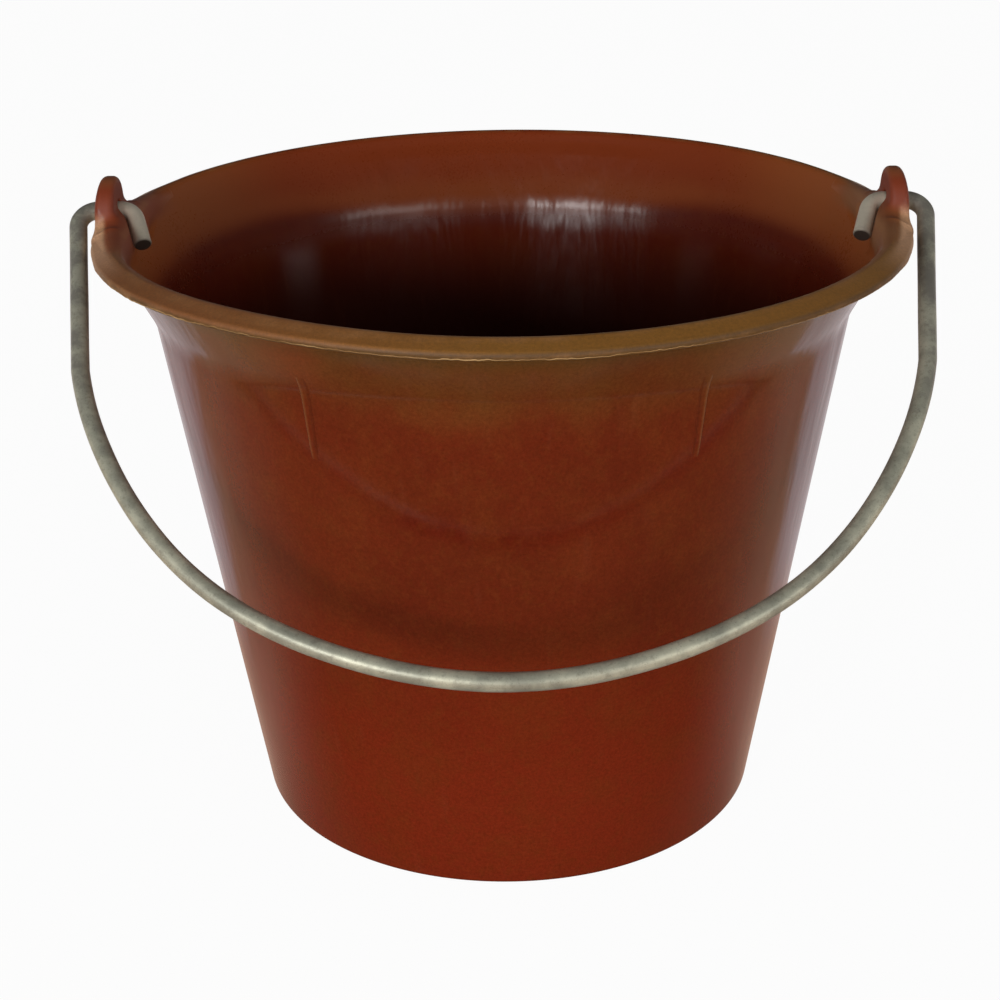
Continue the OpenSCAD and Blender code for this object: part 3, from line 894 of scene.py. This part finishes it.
zinc, start = new_material("dull_zinc")
wire_place = start.node("ShaderNodeTexCoord", output="Object")
blotches = wire_place.noise(70.0, 6.0, 0.66)
fine_blotches = wire_place.noise(520.0, 4.0, 0.6)
pits = wire_place.noise(1700.0, 2.0, 0.5)
wire_x = wire_place.node("ShaderNodeSeparateXYZ", None, {0: wire_place}, "X")
wire_side, wire_y = wire_x.maths("ABSOLUTE"), wire_x.other("Y")
on_leg = wire_side.rise(0.142, 0.153) * (0.25 + 0.5 * blotches.rise(0.62, 0.42))
# Partly painted light: the hooks are coloured pale for their rubbed zinc and for the light that falls on
# them.
hooks_rubbed_and_lit = wire_side.rise(0.1418, 0.1405) * wire_y.rise(-0.050, -0.030)
end_mark = wire_place.node("ShaderNodeAttribute", {"attribute_name": "sawn"}, None, "Fac")
wire_layers = [
    (fine_blotches.rise(0.54, 0.70), 0.45, ZINC_STAIN),
    (pits.rise(0.60, 0.70), 0.3, ZINC_PIT),
    (on_leg, 1.0, ZINC_DULL),
    (hooks_rubbed_and_lit, 0.6, ZINC_RUBBED_AND_LIT),
    (end_mark, 1.0, SAWN_END),
]
wire_colour = blotches.rise(0.34, 0.66).tint(ZINC_DARK, ZINC_LIGHT)
for where, strength, colour in wire_layers:
    wire_colour = (where * strength).tint(wire_colour, colour)
wire_rough = 0.36 + 0.22 * (blotches - 0.3) + 0.12 * fine_blotches + 0.2 * end_mark
wire_skin = blotches * 0.5 + fine_blotches * 0.35 + pits * 0.15
wire_bump_inputs = {"Strength": 0.5, "Distance": 0.0002, "Height": wire_skin}
wire_bumps = wire_place.node("ShaderNodeBump", None, wire_bump_inputs)
wire_surface = wire_place.node(
    "ShaderNodeBsdfPrincipled",
    None,
    {"Base Color": wire_colour, "Metallic": 0.5, "Roughness": wire_rough, "Normal": wire_bumps},
)
wire_place.node("ShaderNodeOutputMaterial", None, {"Surface": wire_surface})

wire_in = start_tree("bent_wire", {"Wire radius": "Float", "Sides": "Int", "Zinc": "Material"})
wire_line = wire_in["Geometry"].node("GeometryNodeMeshToCurve", None, {"Mesh": wire_in["Geometry"]})
wire_round = wire_line.node(
    "GeometryNodeCurvePrimitiveCircle",
    None,
    {"Resolution": wire_in["Sides"], "Radius": wire_in["Wire radius"]},
)
girth = wire_line.node("GeometryNodeInputNamedAttribute", {"data_type": "FLOAT"}, {"Name": "girth"})
wire_mesh = wire_line.node(
    "GeometryNodeCurveToMesh",
    None,
    {"Curve": wire_line, "Profile Curve": wire_round, "Scale": girth, "Fill Caps": True},
)
wire_tree = end_tree(wire_mesh, wire_in["Zinc"])

bail = plain_object("bail_wire", wire_path, [(i, i + 1) for i in range(len(wire_path) - 1)], [])
end_distance = np.minimum(reach, reach[-1] - reach)
girths = 1 - CHAMFER_IN * np.clip(1 - end_distance / CHAMFER, 0, 1) ** 1.5
girths = girths + GIRTH_VARIES * np.sin(reach / GIRTH_WAVE) * (end_distance > GIRTH_FROM)
sawn = np.clip(1 - end_distance / SAWN_REACH, 0, 1)
for attribute, values in (("girth", girths), ("sawn", sawn)):
    bail.data.attributes.new(attribute, "FLOAT", "POINT").data.foreach_set("value", values)
grow(bail, wire_tree, {"Wire radius": WIRE_R * MM, "Sides": WIRE_SIDES, "Zinc": zinc})
point_outwards(bail)
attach(bail, "bail_body")
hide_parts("bail")

# The floor is a plain pale sheet, white to the camera. In reflections it glows as a room's floor looks: dim
# and brown in front, darker close round the bucket as a painted shadow, paler at the sides and behind, where
# the world is white too. The light comes from low at the sides, as from windows: a wide lamp on the left with
# a brighter pane, another on the right, and the world.
ROOM_DIM = 0.02
FLOOR_NEAR_PAINTED_SHADOW, FLOOR_CLOSE_BEHIND = (0.10, 0.04, 0.015, 1), (0.52, 0.34, 0.26, 1)
FLOOR_IN_FRONT, FLOOR_BESIDE = (0.32, 0.15, 0.06, 1), (0.50, 0.36, 0.25, 1)
FLOOR_BEHIND = (0.66, 0.59, 0.60, 1)
FLOOR_HALF, FLOOR_GREY, FLOOR_WHITE_SHARE = 6000.0, 0.85, 0.96
WHITE = (1, 1, 1, 1)
SKY_HIGH, SKY_LOW = 0.14, 2.0
LAMP_TILT = math.radians(11.0)
LAMPS_AIM_AT = np.array([0, 0, 0.15])
floor_corners = [(i * FLOOR_HALF, j * FLOOR_HALF, 0) for i, j in ((-1, -1), (1, -1), (1, 1), (-1, 1))]
floor = plain_object("floor", floor_corners, [], [(0, 1, 2, 3)])


def ray_kinds(flow):
    """Two sockets: 1 for the camera's own rays, and 1 for rays in gloss or through glass."""
    camera_ray = flow.node("ShaderNodeLightPath", output="Is Camera Ray")
    through_glass = camera_ray.other("Is Transmission Ray")
    return camera_ray, camera_ray.other("Is Glossy Ray").maths("MAXIMUM", through_glass)


paper, start = new_material("pale_floor")
floor_place = start.node("ShaderNodeTexCoord", output="Object")
floor_x = start.node("ShaderNodeSeparateXYZ", None, {0: floor_place}, "X")
floor_y = floor_x.other("Y")
floor_away = (floor_x * floor_x + floor_y * floor_y).maths("SQRT").rise(0.15, 0.27)
floor_beside = floor_y.rise(-0.16, 0.08)
floor_side = floor_x.maths("ABSOLUTE") - 0.10
floor_behind = (floor_side / floor_y.maths("MAXIMUM", 0.005)).rise(2.2, 1.3) * floor_y.rise(-0.02, 0.02)
floor_far = floor_behind.tint(floor_beside.tint(FLOOR_IN_FRONT, FLOOR_BESIDE), FLOOR_BEHIND)
# Painted shadow: close round the bucket the floor glows darker in reflections, for the bucket's own shadow.
floor_close_painted_shadow = floor_y.rise(-0.10, 0.0).tint(FLOOR_NEAR_PAINTED_SHADOW, FLOOR_CLOSE_BEHIND)
to_camera, mirrored = ray_kinds(start)
floor_glow = to_camera.tint(floor_away.tint(floor_close_painted_shadow, floor_far), WHITE)
lit = start.node("ShaderNodeBsdfDiffuse", None, {"Color": (FLOOR_GREY, FLOOR_GREY, FLOOR_GREY, 1)})
glowing = start.node("ShaderNodeEmission", None, {"Color": floor_glow, "Strength": 1.0})
floor_share = to_camera * FLOOR_WHITE_SHARE + (1 - to_camera) * mirrored
floor_mix = start.node("ShaderNodeMixShader", None, {0: floor_share, 1: lit, 2: glowing})
start.node("ShaderNodeOutputMaterial", None, {"Surface": floor_mix})
floor.data.materials.append(paper)
floor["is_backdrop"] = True

world = bpy.data.worlds.new("studio")
world.use_nodes = True
world.node_tree.nodes.clear()
bpy.context.scene.world = world
sky = Flow(world.node_tree)
look = sky.node("ShaderNodeTexCoord", output="Generated")
look_y = sky.node("ShaderNodeSeparateXYZ", None, {0: look}, "Y")
look_up = look_y.other("Z")
sky_behind = look_y.rise(-0.35, 0.25)
to_camera, mirrored = ray_kinds(sky)
mirrored_light = ROOM_DIM + (1 - ROOM_DIM) * sky_behind * look_up.rise(0.12, 0.0)
room_light = SKY_HIGH + (SKY_LOW - SKY_HIGH) * look_up.maths("ABSOLUTE").rise(0.45, 0.0)
unseen = mirrored * mirrored_light + (1 - mirrored) * room_light
strength = to_camera + (1 - to_camera) * unseen
sky_light = sky.node("ShaderNodeBackground", None, {"Color": WHITE, "Strength": strength})
sky.node("ShaderNodeOutputWorld", None, {"Surface": sky_light})


def lamp(name, azimuth, distance, wide, high, watts, colour):
    """A soft lamp that faces the bucket; its azimuth in degrees is measured from the front to the right."""
    data = bpy.data.lights.new(name, "AREA")
    data.shape = "RECTANGLE"
    data.size, data.size_y = wide, high
    data.energy = watts
    data.color = colour
    held = bpy.data.objects.new(name, data)
    bpy.context.scene.collection.objects.link(held)
    turn_to = math.radians(azimuth)
    aim = np.array([math.sin(turn_to), -math.cos(turn_to), 0.0]) * math.cos(LAMP_TILT)
    aim[2] = math.sin(LAMP_TILT)
    right = np.array([math.cos(turn_to), math.sin(turn_to), 0.0])
    axes = np.column_stack([right, np.cross(aim, right), aim, aim * distance + LAMPS_AIM_AT])
    held.matrix_world = Matrix([*axes.tolist(), [0, 0, 0, 1]])


lamp("window", -29, 2.4, 1.38, 0.65, 16.0, (1.0, 0.985, 0.97))
lamp("bright_pane", -25, 2.38, 0.3, 0.7, 13.0, (0.98, 0.99, 1.0))
lamp("room", 38, 2.4, 1.5, 0.8, 12.0, (1.0, 0.98, 0.95))

# The camera stands where the photograph was taken from: 0.83 m away from the foot, looking down on the rim at
# 23 degrees, and turned by less than a degree, as a camera held by hand is.
CAMERA_AT = (0.0, -0.7194, 0.4209)
PITCH, YAW, ROLL = 0.4045, -0.0030, -0.014
SENSOR_MM, LENS_MM = 36.0, 71.67
forward = np.array([math.sin(YAW) * math.cos(PITCH), math.cos(YAW) * math.cos(PITCH), -math.sin(PITCH)])
right = np.cross(forward, [0, 0, 1])
right = right / np.linalg.norm(right)
above = np.cross(right, forward)
rolled_right = right * math.cos(ROLL) + above * math.sin(ROLL)
rolled_up = -right * math.sin(ROLL) + above * math.cos(ROLL)
lens = bpy.data.cameras.new("camera")
lens.sensor_width, lens.lens = SENSOR_MM, LENS_MM
lens.clip_start = 0.05
camera = bpy.data.objects.new("camera", lens)
bpy.context.scene.collection.objects.link(camera)
stand = np.column_stack([rolled_right, rolled_up, -forward, CAMERA_AT])
camera.matrix_world = Matrix([*stand.tolist(), [0, 0, 0, 1]])
bpy.context.scene.camera = camera

bpy.context.scene.view_settings.view_transform = "Standard"

look_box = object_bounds()
size = {"cad": [list(corner) for corner in cad_box], "look": [list(corner) for corner in look_box]}
